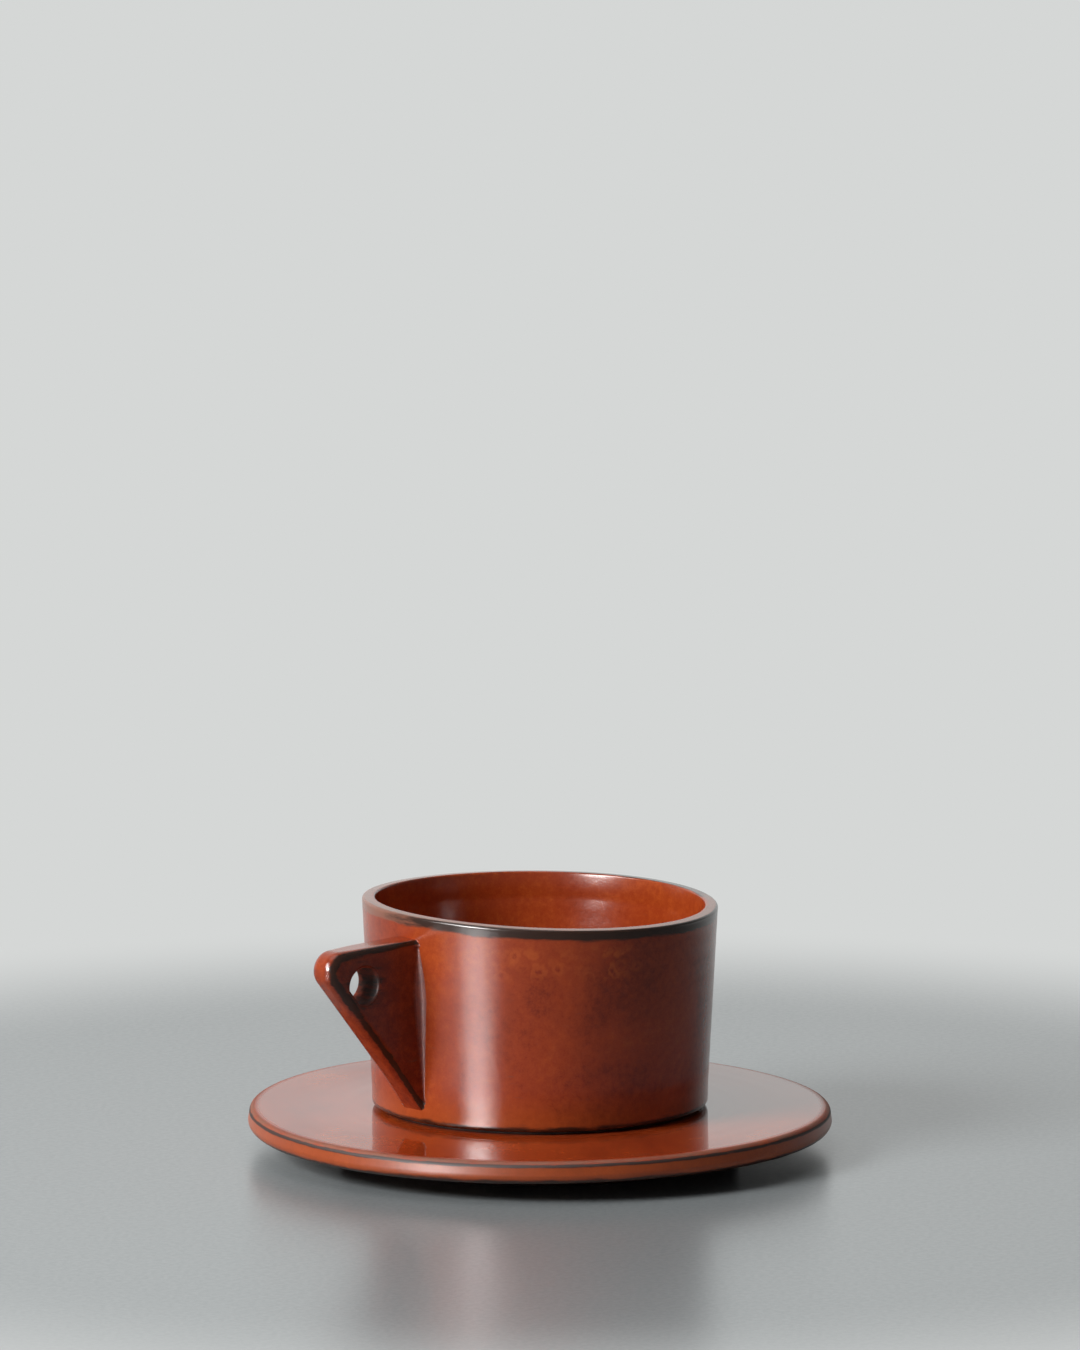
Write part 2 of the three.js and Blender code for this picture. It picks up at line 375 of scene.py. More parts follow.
def build_mesh(name, points, faces, attributes):
    mesh = bpy.data.meshes.new(name)
    mesh.from_pydata((points * METRES).tolist(), [], faces)
    for attribute, values in attributes.items():
        layer = mesh.attributes.new(attribute, "FLOAT", "POINT")
        layer.data.foreach_set("value", np.asarray(values, np.float32))
    work = bmesh.new()
    work.from_mesh(mesh)
    bmesh.ops.recalc_face_normals(work, faces=work.faces)
    work.to_mesh(mesh)
    work.free()
    mesh.shade_smooth()
    piece = bpy.data.objects.new(name, mesh)
    bpy.context.scene.collection.objects.link(piece)
    return piece


def grid_faces(rows, columns, wrap_rows):
    """Quads of a grid of points that closes across its columns, and across its rows if asked."""
    faces = []
    for row in range(rows if wrap_rows else rows - 1):
        here, there = row * columns, (row + 1) % rows * columns
        for column in range(columns):
            after = (column + 1) % columns
            faces.append((here + column, here + after, there + after, there + column))
    return faces


def turned(name, profile, shape, attributes):
    """A profile that starts and ends on the axis, turned about it.

    shape moves the points of the grid, and attributes gives what the glaze reads at each of them.
    """
    turn = np.linspace(0, 2 * math.pi, TURN_SEGMENTS, endpoint=False)
    radius = np.repeat(profile[1:-1, :1], TURN_SEGMENTS, 1)
    height = np.repeat(profile[1:-1, 1:], TURN_SEGMENTS, 1)
    radius, height = shape(radius, height, turn[None, :])
    ring = np.stack((radius * np.cos(turn), radius * np.sin(turn), height), -1).reshape(-1, 3)
    rows = len(profile) - 2
    faces = grid_faces(rows, TURN_SEGMENTS, False)
    first, last = len(ring), len(ring) + 1
    end_row = (rows - 1) * TURN_SEGMENTS
    for column in range(TURN_SEGMENTS):
        after = (column + 1) % TURN_SEGMENTS
        faces.append((first, after, column))
        faces.append((last, end_row + column, end_row + after))
    points = np.vstack((ring, [(0, 0, profile[0, 1]), (0, 0, profile[-1, 1])]))
    spread = {}
    for key, values in attributes(profile, turn).items():
        grid = np.broadcast_to(values, (len(profile), TURN_SEGMENTS))
        spread[key] = np.concatenate((grid[1:-1].ravel(), grid[0, :1], grid[-1, :1]))
    return build_mesh(name, points, faces, spread)


def turned_ring(name, profile, shape):
    """A closed profile turned about the axis."""
    turn = np.linspace(0, 2 * math.pi, TURN_SEGMENTS, endpoint=False)
    radius = np.repeat(profile[:, :1], TURN_SEGMENTS, 1)
    height = np.repeat(profile[:, 1:], TURN_SEGMENTS, 1)
    radius, height = shape(radius, height, turn[None, :])
    points = np.stack((radius * np.cos(turn), radius * np.sin(turn), height), -1).reshape(-1, 3)
    return build_mesh(name, points, grid_faces(len(profile), TURN_SEGMENTS, True), {})


# Saucer


def saucer_profile():
    shoulder_centre = (
        SAUCER_RADIUS - SAUCER_EDGE_LEAN - SAUCER_SHOULDER_RADIUS,
        SAUCER_LIP_TOP - SAUCER_SHOULDER_RADIUS,
    )
    corner_centre = (
        SAUCER_RADIUS - SAUCER_CORNER_ROUNDING,
        SAUCER_LIP_TOP - SAUCER_EDGE_HEIGHT + SAUCER_CORNER_ROUNDING,
    )
    flat_edge = SAUCER_FOOT_RADIUS + SAUCER_FOOT_MARGIN
    lip_inner = shoulder_centre[0] - SAUCER_LIP_WIDTH
    lower = round_run(corner_centre, SAUCER_CORNER_ROUNDING, SAUCER_CORNER_START, 0)
    under = straight((0, SAUCER_UNDERSIDE), (flat_edge, SAUCER_UNDERSIDE))
    slope = straight((flat_edge, SAUCER_UNDERSIDE), lower[0])
    shoulder = round_run(shoulder_centre, SAUCER_SHOULDER_RADIUS, 0, 90)
    face = straight(lower[-1], shoulder[0], ROUND_STEP)
    share = np.linspace(0, 1, SAUCER_LIP_ROWS)
    lip = np.column_stack((
        shoulder_centre[0] - SAUCER_LIP_WIDTH * share,
        SAUCER_TOP + (SAUCER_LIP_TOP - SAUCER_TOP) * (1 - smooth(0, 1, share)),
    ))
    top = straight((lip_inner, SAUCER_TOP), (0, SAUCER_TOP))
    return chain(under, slope, lower, face, shoulder, lip, top)


def shape_saucer(radius, height, turn):
    """Throwing rings on the flat and a slight warp of the edge, in the photograph's own directions."""
    outer = smooth(BASE_RADIUS + SAUCER_WARP_CLEARANCE, SAUCER_RADIUS, radius) ** SAUCER_WARP_POWER
    from_left = math.pi + CAMERA_AZIMUTH - turn
    lean = SAUCER_WARP_LEAN * np.cos(from_left) + SAUCER_WARP_FRONT * np.sin(from_left)
    warp = lean - SAUCER_WARP_DROP + SAUCER_WARP_TWIST * np.sin(2 * from_left)
    on_top = smooth(SAUCER_TOP - 1, SAUCER_TOP - 0.2, height)
    wave = np.sin(radius * 2 * math.pi / RING_SPACING + turn)
    wave = wave + SAUCER_FINE_SHARE * np.sin(radius * SAUCER_FINE_WAVE - 2 * turn)
    rings = SAUCER_RING_DEPTH * wave * on_top * smooth(CUP_FOOT_RADIUS, BASE_RADIUS + 2, radius)
    return radius, height + warp * outer + rings * smooth(SAUCER_RADIUS - 3, SAUCER_RADIUS - 7, radius)


def saucer_attributes(profile, turn):
    """A painted highlight line and a dark line round the shoulder, ochre on the face below them, and brown
    painted shade on the lower corner and underneath.
    """
    distance = along(profile)[:, None]
    shoulder_end = distance[np.argmax(profile[:, 1] >= SAUCER_LIP_TOP - SAME_POINT)]
    outward = shoulder_end - distance
    dark_line = SAUCER_DARK_LINE * band(outward - SAUCER_DARK_LINE_AT, 0.2, 0.5)
    rough_shoulder = SAUCER_SHOULDER_ADDS * smooth(-0.6, 0.6, outward)
    smoother_face = SAUCER_FACE_TAKES * smooth(SAUCER_FACE_AT, 2.5, outward)
    return {
        # the dark line is glaze; brown from the lower corner inwards is painted shade under the saucer
        "edge": dark_line + smooth(SAUCER_UNDERSIDE_SHADE_START, SAUCER_UNDERSIDE_SHADE_FULL, outward),
        # a painted highlight line on the shoulder
        "pale": SAUCER_PAINTED_HIGHLIGHT_LINE * band(outward - SAUCER_PAINTED_HIGHLIGHT_AT, 0.4, 0.6),
        "warm": np.full_like(outward, SAUCER_WARMTH),
        "ochre": SAUCER_FACE_OCHRE * smooth(SAUCER_FACE_AT, 2.6, outward),
        "rough": SAUCER_ROUGH + rough_shoulder - smoother_face,
    }


def make_saucer():
    piece = turned("saucer", saucer_profile(), shape_saucer, saucer_attributes)
    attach(piece, "saucer")
    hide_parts("saucer_plate")
    return piece


def foot_profile(outer, width, low, high, rounding):
    inner = outer - width
    return chain(
        straight((outer, high), (inner, high)),
        straight((inner, high), (inner, low + rounding)),
        round_run((inner + rounding, low + rounding), rounding, 180, 270),
        round_run((outer - rounding, low + rounding), rounding, 270, 360),
        straight((outer, low + rounding), (outer, high)),
    )[:-1]


def shape_foot(radius, height, turn):
    """Turning lines on bare clay."""
    drift = TURNING_LINE_DRIFT * np.sin(turn)
    lines = TURNING_LINE_DEPTH * np.sin(height * TURNING_LINE_WAVE + drift)
    return radius + lines - TURNING_LINE_DEPTH, height


def make_foot(name, node, body, outer, width, low, high, rounding):
    piece = turned_ring(name, foot_profile(outer, width, low, high, rounding), shape_foot)
    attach(piece, body)
    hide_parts(node)
    return piece


# Cup


def wall_radius(height):
    return BASE_RADIUS + WALL_SLOPE * (height - WALL_FOOT)


def cup_profile():
    inner_radius = MOUTH_RADIUS - RIM_THICKNESS
    outer_corner = (MOUTH_RADIUS - LIP_OUTER_ROUNDING, RIM_HEIGHT - LIP_SLANT - LIP_OUTER_ROUNDING)
    inner_corner = (inner_radius + LIP_INNER_ROUNDING, RIM_HEIGHT - LIP_INNER_ROUNDING)
    floor_radius = BASE_RADIUS - WALL_AT_FLOOR
    foot_inner = CUP_FOOT_RADIUS - CUP_FOOT_WIDTH
    recess = BASE_HEIGHT + UNDERSIDE_RECESS
    fillet_centre = (floor_radius - FLOOR_FILLET, FLOOR_HEIGHT + FLOOR_FILLET)
    outside = chain(
        straight((0, recess), (foot_inner - UNDERSIDE_RECESS, recess)),
        straight((foot_inner - UNDERSIDE_RECESS, recess), (foot_inner, BASE_HEIGHT)),
        straight((foot_inner, BASE_HEIGHT), (BASE_RADIUS - BASE_ROUNDING, BASE_HEIGHT)),
        round_run((BASE_RADIUS - BASE_ROUNDING, WALL_FOOT), BASE_ROUNDING, -90, 0),
        straight((BASE_RADIUS, WALL_FOOT), (MOUTH_RADIUS, outer_corner[1])),
    )
    outer_lip = round_run(outer_corner, LIP_OUTER_ROUNDING, 0, 90)
    inner_lip = round_run(inner_corner, LIP_INNER_ROUNDING, 90, 180)
    share = np.linspace(0, 1, LIP_FLARE_ROWS)
    flare = inner_lip[-1] - np.column_stack((LIP_FLARE * (1 - (1 - share) ** 2), LIP_FLARE_HEIGHT * share))
    inside = chain(
        flare,
        straight(flare[-1], (floor_radius, FLOOR_HEIGHT + FLOOR_FILLET)),
        round_run(fillet_centre, FLOOR_FILLET, 0, -90, PROFILE_STEP),
        straight((floor_radius - FLOOR_FILLET, FLOOR_HEIGHT), (0, FLOOR_HEIGHT)),
    )
    lip = chain(outer_lip, straight(outer_lip[-1], inner_lip[0], ROUND_STEP), inner_lip)
    return chain(outside, lip, inside)


def unlevel(radius, height, turn):
    """The rim rises to one side and is a little twisted; both fade out towards the floor."""
    rise = RIM_RISE * np.cos(turn - RIM_RISE_TOWARDS) + RIM_TWIST * np.sin(2 * (turn - CAMERA_AZIMUTH))
    climb = np.maximum(0, (height - FLOOR_HEIGHT) / (RIM_HEIGHT - FLOOR_HEIGHT))
    return height + rise * radius / MOUTH_RADIUS * climb**2


def thrown_inset(height, turn):
    """How far throwing rings and a touch of ovality draw the wall in."""
    wall = smooth(WALL_FOOT, WALL_FOOT + RING_EASING, height)
    rings = RING_DEPTH * np.sin(height * 2 * math.pi / RING_SPACING + turn)
    oval = WOBBLE * (0.5 + 0.5 * np.cos(2 * turn + WOBBLE_PHASE))
    return wall * (oval + RING_DEPTH + rings)


def shape_cup(radius, height, turn):
    return radius - thrown_inset(height, turn), unlevel(radius, height, turn)


def wall_warmth(height):
    """The glaze is a little more orange below the lip."""
    return WALL_WARMTH + WALL_TOP_WARMER * smooth(RIM_HEIGHT - 14, RIM_HEIGHT - 5, height)


def lip_brown(below, turn):
    """Brown on part of the lip's outer side, on part of its top and faintly along its inner edge."""
    dark_side = smooth(LIP_DARK_END, LIP_DARK_FULL, degrees_from(turn, LIP_DARK_MIDDLE))
    dark_top = smooth(LIP_TOP_DARK_END, LIP_TOP_DARK_FULL, degrees_from(turn, LIP_TOP_DARK_MIDDLE))
    outer_band = smooth(0.0, 0.4, below) * smooth(3.9, 2.1, below)
    top_band = smooth(-2.6, -1.8, below) * smooth(0.6, 0.0, below)
    inner_band = LIP_INNER_BROWN * band(below + 2.2, 0.3, 0.5)
    return outer_band * dark_side + LIP_TOP_BROWN * top_band * dark_top + inner_band


def blotchiness(below, turn):
    """Where blotches show: a row below the lip on the near side, and a fainter one on the far side."""
    near = smooth(36, 16, degrees_from(turn, BLOTCH_MIDDLE))
    far = FAR_BLOTCH_SHARE * smooth(30, 10, degrees_from(turn, FAR_BLOTCH_MIDDLE))
    return (near + far) * band(below - BLOTCH_BELOW_LIP, 2.5, 3.5)


def cup_attributes(profile, turn):
    """Brown stretches of the lip, pale tan on it that is partly the glaze's own colour and partly a painted
    highlight along the crest, a brown line of painted shade at the foot, blotches, a stretch of wall painted
    lighter beside the handle as painted light, and a smoother skin inside.

    below is the length down the outside from the lip, and is negative inside the cup.
    """
    distance = along(profile)[:, None]
    lip_top = distance[np.argmax(profile[:, 1] >= RIM_HEIGHT - LIP_SLANT - SAME_POINT)]
    below = lip_top - distance
    height = profile[:, 1:]
    outside = below > 0
    # the brown line at the foot is painted shade where the wall meets the saucer
    foot_shade_line = smooth(WALL_FOOT + 1, WALL_FOOT - 0.3, height) * (profile[:, :1] > CUP_FOOT_RADIUS)
    # painted light: the wall beside the handle is made more orange where the handle's shadow falls
    stretch = WALL_PAINTED_LIGHT_BESIDE_HANDLE * band(degrees_from(turn, PAINTED_LIGHT_MIDDLE), 3, 12)
    wall_rough = WALL_ROUGH + WALL_TOP_ADDS * smooth(WALL_FOOT + 8, RIM_HEIGHT - 14, height)
    inside_rough = INSIDE_ROUGH + INSIDE_TOP_ADDS * smooth(-9, -4, below)
    return {
        "edge": lip_brown(below, turn) + WALL_FOOT_PAINTED_SHADE * foot_shade_line,
        # pale tan on the lip, partly the glaze's own colour and partly a painted highlight along the crest
        "pale": smooth(-2.2, -1.2, below) * smooth(3.6, 1.8, below) * np.ones_like(turn),
        "warm": np.where(outside, wall_warmth(height) + stretch, INSIDE_WARMTH),
        "ochre": WALL_FOOT_OCHRE * smooth(WALL_FOOT + 10, WALL_FOOT, height) * outside,
        "rough": np.where(outside, wall_rough, inside_rough),
        "blotch": blotchiness(below, turn) * outside,
    }


def make_cup():
    piece = turned("cup", cup_profile(), shape_cup, cup_attributes)
    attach(piece, "cup")
    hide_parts("cup_body")
    return piece


# Handle: a slab in the plane of the cup's axis, drawn on rays from the middle of its hole


class HandleOutline:
    """The side view, as distance from the axis and height: two straight edges, a round tip and the root."""

    def __init__(self):
        tip_height = HANDLE_TOP - HANDLE_TOP_DROOP - HANDLE_TIP_RADIUS
        self.tip = np.array((HANDLE_TIP - HANDLE_TIP_RADIUS, tip_height))
        self.hole = np.array((HANDLE_TIP - HOLE_FROM_TIP, HANDLE_TOP - HOLE_BELOW_TOP))
        self.top_root = np.array((wall_radius(HANDLE_TOP), HANDLE_TOP))
        self.low_root = np.array((wall_radius(HANDLE_BOTTOM), HANDLE_BOTTOM))
        self.top_angle = self.towards_tip(self.top_root) + self.tangent_turn(self.top_root)
        self.low_angle = self.towards_tip(self.low_root) - self.tangent_turn(self.low_root)
        self.top_way = np.array((math.cos(self.top_angle), math.sin(self.top_angle)))
        self.low_way = np.array((math.cos(self.low_angle), math.sin(self.low_angle)))
        self.top_out = np.array((-self.top_way[1], self.top_way[0]))
        self.low_out = np.array((self.low_way[1], -self.low_way[0]))
        lean = math.hypot(1, WALL_SLOPE)
        self.root_out = np.array((-1, WALL_SLOPE)) / lean
        self.root_point = np.array((wall_radius(SEAT) - HANDLE_ROOT_DEPTH, SEAT))

    def towards_tip(self, root):
        return math.atan2(self.tip[1] - root[1], self.tip[0] - root[0])

    def tangent_turn(self, root):
        return math.asin(HANDLE_TIP_RADIUS / np.linalg.norm(self.tip - root))

    def reach(self, ray, inset):
        """How far a ray from the hole's middle runs to the outline drawn in by inset."""
        reaches = []
        for point, out, drawn_in in (
            (self.top_root, self.top_out, inset),
            (self.low_root, self.low_out, inset),
            (self.root_point, self.root_out, 0),
        ):
            facing = ray @ out
            if facing > PARALLEL:
                reaches.append(((point - self.hole) @ out - drawn_in) / facing)
        shortest = min(reaches)
        beyond = self.hole + shortest * ray - self.tip
        if beyond @ self.top_way > 0 and beyond @ self.low_way > 0:
            offset = self.hole - self.tip
            half = ray @ offset
            radius = HANDLE_TIP_RADIUS - inset
            return -half + math.sqrt(half * half - offset @ offset + radius * radius)
        return shortest

    def rays(self):
        """Unit rays from the hole's middle to points spaced evenly round the outline."""
        angle = np.linspace(0, 2 * math.pi, OUTLINE_SAMPLES, endpoint=False)
        fine = np.column_stack((np.cos(angle), np.sin(angle)))
        points = np.array([ray * self.reach(ray, 0) for ray in fine])
        gaps = np.linalg.norm(np.roll(points, -1, 0) - points, axis=1)
        length = np.concatenate(([0], np.cumsum(gaps)))
        count = round(length[-1] / OUTLINE_STEP)
        even = np.interp(np.arange(count) * length[-1] / count, length, np.append(angle, 2 * math.pi))
        return np.column_stack((np.cos(even), np.sin(even)))

    def rounding(self, ray):
        """Rounding of the edge where a ray ends: large on the slanted edge and the tip, small on top."""
        place = self.hole + ray * self.reach(ray, 0)
        from_tip = place - self.tip
        off_wall = place[0] - wall_radius(place[1])
        growth = smooth(LOWER_ROUNDING_START, LOWER_ROUNDING_FULL, off_wall)
        lower = HANDLE_LOW_ROOT_ROUNDING + (HANDLE_LOWER_ROUNDING - HANDLE_LOW_ROOT_ROUNDING) * growth
        on_slant = from_tip @ self.low_out > HANDLE_TIP_RADIUS - TANGENT_MARGIN
        if from_tip @ self.top_out < 0 or on_slant:
            return lower
        back = -(from_tip @ self.top_way)
        return lower + (HANDLE_TOP_ROUNDING - lower) * smooth(-HANDLE_TIP_RADIUS, HANDLE_TOP_EASING, back)


def hole_rows():
    """Rows of a section from the hole's waist round its edge."""
    half = HANDLE_THICKNESS / 2
    mouth = HOLE_RADIUS + HOLE_EDGE_ROUNDING
    rows = []
    for share in np.linspace(0, 1, HOLE_WAIST_ROWS)[:-1]:
        rows.append((HOLE_RADIUS, share * (half - HOLE_EDGE_ROUNDING), 0, HOLE_BROWN, HOLE_ROUGH))
    for angle in np.radians(np.linspace(0, 90, HOLE_EDGE_ROWS)):
        slope = math.sin(angle)
        distance = mouth - HOLE_EDGE_ROUNDING * math.cos(angle)
        offset = half - HOLE_EDGE_ROUNDING * (1 - slope)
        brown = HOLE_BROWN - HOLE_BROWN_FADE * slope
        rows.append((distance, offset, slope, brown, HOLE_ROUGH - HOLE_EDGE_TAKES * slope))
    return rows


def handle_section(outline, ray):
    """Half a section along a ray, from the hole's waist to the rim: distance, offset, slope, edge, rough."""
    half = HANDLE_THICKNESS / 2
    mouth = HOLE_RADIUS + HOLE_EDGE_ROUNDING
    rounding = outline.rounding(ray)
    end = outline.hole + ray * outline.reach(ray, 0)
    from_tip = np.linalg.norm(end - outline.tip)
    from_low_root = np.linalg.norm(end - outline.low_root)
    near_tip = smooth(TIP_BROWN_REACH, TIP_BROWN_FULL, from_tip)
    # the brown band widens near the low root as painted shade under the handle
    near_low_root = smooth(LOW_ROOT_SHADE_REACH, LOW_ROOT_SHADE_FULL, from_low_root)
    core = HANDLE_BROWN_CORE + TIP_BROWN_WIDER * near_tip + LOW_ROOT_PAINTED_SHADE_WIDER * near_low_root
    fade = HANDLE_BROWN_FADE + TIP_BROWN_SOFTER * near_tip
    rows = hole_rows()
    flat_end = outline.reach(ray, rounding)
    for share in np.linspace(0, 1, HANDLE_FLAT_ROWS)[1:]:
        distance = mouth + (flat_end - mouth) * (1 - (1 - share) ** 2)
        rim = band(flat_end - distance + HANDLE_BROWN_TURN * rounding, core, fade)
        round_hole = HOLE_MOUTH_BROWN * smooth(HOLE_MOUTH_BROWN_REACH, 0, distance - mouth)
        rows.append((distance, half, 1, max(rim, round_hole), HANDLE_ROUGH))
    for angle in np.radians(np.linspace(0, 90, HANDLE_EDGE_ROWS))[1:]:
        inset = rounding * (1 - math.sin(angle))
        offset = half - rounding * (1 - math.cos(angle))
        rim = band((angle - HANDLE_BROWN_TURN) * rounding, core, fade)
        rows.append((outline.reach(ray, inset), offset, math.cos(angle), rim, HANDLE_ROUGH))
    for share in np.linspace(0, 1, HANDLE_RIM_ROWS)[1:]:
        rows.append((outline.reach(ray, 0), (half - rounding) * (1 - share), 0, 0, HANDLE_ROUGH))
    return np.array(rows)


def root_fillet(height):
    """Radius of the fillet at the wall: it grows upwards from the bottom and runs out at the top."""
    climb = np.clip((height - HANDLE_BOTTOM) / (HANDLE_TOP - HANDLE_BOTTOM), 0, 1)
    run_out = smooth(HANDLE_TOP, HANDLE_TOP - HANDLE_FILLET_RUN_OUT, height)
    return HANDLE_LEAST_FILLET + HANDLE_ROOT_FILLET * climb * run_out


def filleted_half(outward, height):
    """Half thickness of the slab: flat, then the arc of a ball that touches the wall, then into the wall."""
    half = HANDLE_THICKNESS / 2
    ball = root_fillet(height)
    wall = wall_radius(height) - thrown_inset(height, math.pi)
    centre = np.sqrt((wall + ball) ** 2 - (half + ball) ** 2)
    touch = centre * wall / (wall + ball)
    arc = np.clip(centre - outward, 0, centre - touch)
    return half + ball - np.sqrt(ball**2 - arc**2) + ROOT_SPREAD_IN_WALL * np.maximum(touch - outward, 0)


def both_sides(values):
    """Values of the near half of every section, followed by those of the far half."""
    return np.concatenate((values, values[:, -2:0:-1]), 1)


def make_handle():
    outline = HandleOutline()
    rays = outline.rays()
    halves = np.array([handle_section(outline, ray) for ray in rays])
    distance, offset, slope, edge, rough = np.moveaxis(halves, 2, 0)
    outward = outline.hole[0] + distance * rays[:, :1]
    height = outline.hole[1] + distance * rays[:, 1:]
    spread = slope * (filleted_half(outward, height) - HANDLE_THICKNESS / 2)
    offset = offset + spread
    rough = rough + HANDLE_FILLET_ADDS * smooth(0, 0.4, spread)
    rough = rough - HANDLE_TOP_TAKES * smooth(HANDLE_TOP - 1.6, HANDLE_TOP - 0.6, height)
    near_side = np.stack((-outward, -offset, height), -1)
    loop = np.concatenate((near_side, near_side[:, -2:0:-1] * (1, -1, 1)), 1)
    sections, around = loop.shape[:2]
    attributes = {
        "edge": both_sides(edge).ravel(),
        # the flat faces are painted darker and more maroon, which is painted shade
        "warm": (wall_warmth(loop[:, :, 2]) - HANDLE_FACE_PAINTED_SHADE * both_sides(slope)).ravel(),
        "rough": both_sides(rough).ravel(),
    }
    piece = build_mesh("handle_slab", loop.reshape(-1, 3), grid_faces(sections, around, True), attributes)
    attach(piece, "cup")
    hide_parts("handle")
    return piece


# Materials


class Nodes:
    """Short calls for a material's nodes."""

    def __init__(self, name):
        self.material = bpy.data.materials.new(name)
        self.material.use_nodes = True
        self.tree = self.material.node_tree
        self.shader = self.tree.nodes["Principled BSDF"]
        self.place = self.tree.nodes.new("ShaderNodeTexCoord").outputs["Object"]

    def link(self, value, socket):
        if isinstance(value, bpy.types.NodeSocket):
            self.tree.links.new(value, socket)
        else:
            socket.default_value = value

    def stretched(self, scale):
        node = self.tree.nodes.new("ShaderNodeMapping")
        self.tree.links.new(self.place, node.inputs["Vector"])
        node.inputs["Scale"].default_value = scale
        return node.outputs["Vector"]

    def noise(self, size_mm, detail=2.0, roughness=0.5, distortion=0.0, stretch=(1, 1, 1)):
        node = self.tree.nodes.new("ShaderNodeTexNoise")
        self.tree.links.new(self.stretched(stretch), node.inputs["Vector"])
        node.inputs["Scale"].default_value = 1 / (size_mm * METRES)
        node.inputs["Detail"].default_value = detail
        node.inputs["Roughness"].default_value = roughness
        node.inputs["Distortion"].default_value = distortion
        return node.outputs["Fac"]

    def cells(self, size_mm, warp_mm=0.0):
        """Distance to the nearest of scattered points, and a colour by chance for each of them."""
        shift = self.tree.nodes.new("ShaderNodeTexNoise")
        self.tree.links.new(self.place, shift.inputs["Vector"])
        shift.inputs["Scale"].default_value = CELL_WARP_RATE / (size_mm * METRES)
        warped = self.tree.nodes.new("ShaderNodeVectorMath")
        warped.operation = "MULTIPLY_ADD"
        self.tree.links.new(shift.outputs["Color"], warped.inputs[0])
        warped.inputs[1].default_value = (warp_mm * METRES,) * 3
        self.tree.links.new(self.place, warped.inputs[2])
        node = self.tree.nodes.new("ShaderNodeTexVoronoi")
        self.tree.links.new(warped.outputs[0], node.inputs["Vector"])
        node.inputs["Scale"].default_value = 1 / (size_mm * METRES)
        return node.outputs["Distance"], node.outputs["Color"]

    def attribute(self, name):
        node = self.tree.nodes.new("ShaderNodeAttribute")
        node.attribute_name = name
        return node.outputs["Fac"]

    def math(self, operation, a, b=0.0):
        node = self.tree.nodes.new("ShaderNodeMath")
        node.operation = operation
        self.link(a, node.inputs[0])
        self.link(b, node.inputs[1])
        return node.outputs[0]

    def swing(self, value, amount):
        """A noise made to swing about zero."""
        return self.math("MULTIPLY", self.math("SUBTRACT", value, 0.5), amount)

    def total(self, first, *others):
        for other in others:
            first = self.math("ADD", first, other)
        return first

    def ramp(self, value, low, high, out_low=0.0, out_high=1.0):
        node = self.tree.nodes.new("ShaderNodeMapRange")
        node.interpolation_type = "SMOOTHSTEP"
        self.link(value, node.inputs["Value"])
        numbers = {"From Min": low, "From Max": high, "To Min": out_low, "To Max": out_high}
        for name, number in numbers.items():
            node.inputs[name].default_value = number
        return node.outputs["Result"]

    def mix(self, share, a, b, blend="MIX"):
        node = self.tree.nodes.new("ShaderNodeMix")
        node.data_type = "RGBA"
        node.blend_type = blend
        self.link(share, node.inputs["Factor"])
        self.link(a, node.inputs["A"])
        self.link(b, node.inputs["B"])
        return node.outputs["Result"]

    def bump(self, height, depth_mm, normal=None):
        node = self.tree.nodes.new("ShaderNodeBump")
        node.inputs["Distance"].default_value = depth_mm * METRES
        self.link(height, node.inputs["Height"])
        if normal is not None:
            self.link(normal, node.inputs["Normal"])
        return node.outputs["Normal"]

    def set(self, **values):
        for key, value in values.items():
            self.link(value, self.shader.inputs[key.replace("_", " ").title().replace("Ior", "IOR")])


def blotched(n, colour):
    """A row of orange rings with dark middles, where the glaze has crept together below the lip."""
    distance, chance = n.cells(BLOTCH_SIZE, BLOTCH_WARP)
    here = n.math("MULTIPLY", n.attribute("blotch"), n.ramp(chance, 0.2, 0.8))
    strength = n.math("MULTIPLY", here, BLOTCH_STRENGTH)
    ring = n.math("MULTIPLY", n.ramp(distance, 0.12, 0.34), n.ramp(distance, 0.66, 0.4))
    colour = n.mix(n.math("MULTIPLY", ring, strength), colour, linear(ORANGE))
    middle = n.ramp(distance, 0.26, 0.06)
    return n.mix(n.math("MULTIPLY", middle, strength), colour, linear(MAROON))


def specked(n, colour):
    """A few faint iron specks."""
    distance, chance = n.cells(SPECK_SPACING)
    specks = n.math("MULTIPLY", n.ramp(distance, 0.1, 0.04), n.ramp(chance, 0.75, 0.8))
    return n.mix(n.math("MULTIPLY", specks, SPECK_STRENGTH), colour, linear(SPECK))


def edged(n, colour):
    """Brown where the glaze thins on the edges, and pale tan that is partly the glaze's own colour and
    partly a painted highlight, broken up by streaks.
    """
    streaks = n.swing(n.noise(STREAK_SIZE, 3.0, 0.6, 0.0, STREAK_STRETCH), STREAK_SWING)
    edge = n.ramp(n.math("ADD", n.attribute("edge"), streaks), 0.2, 0.8)
    pale = n.ramp(n.math("ADD", n.attribute("pale"), streaks), 0.2, 0.8)
    colour = n.mix(n.math("MULTIPLY", pale, PALE_AND_HIGHLIGHT_STRENGTH), colour, linear(EDGE_PALE_AND_HIGHLIGHT))
    return n.mix(n.math("MULTIPLY", edge, BROWN_STRENGTH), colour, linear(EDGE_BROWN))


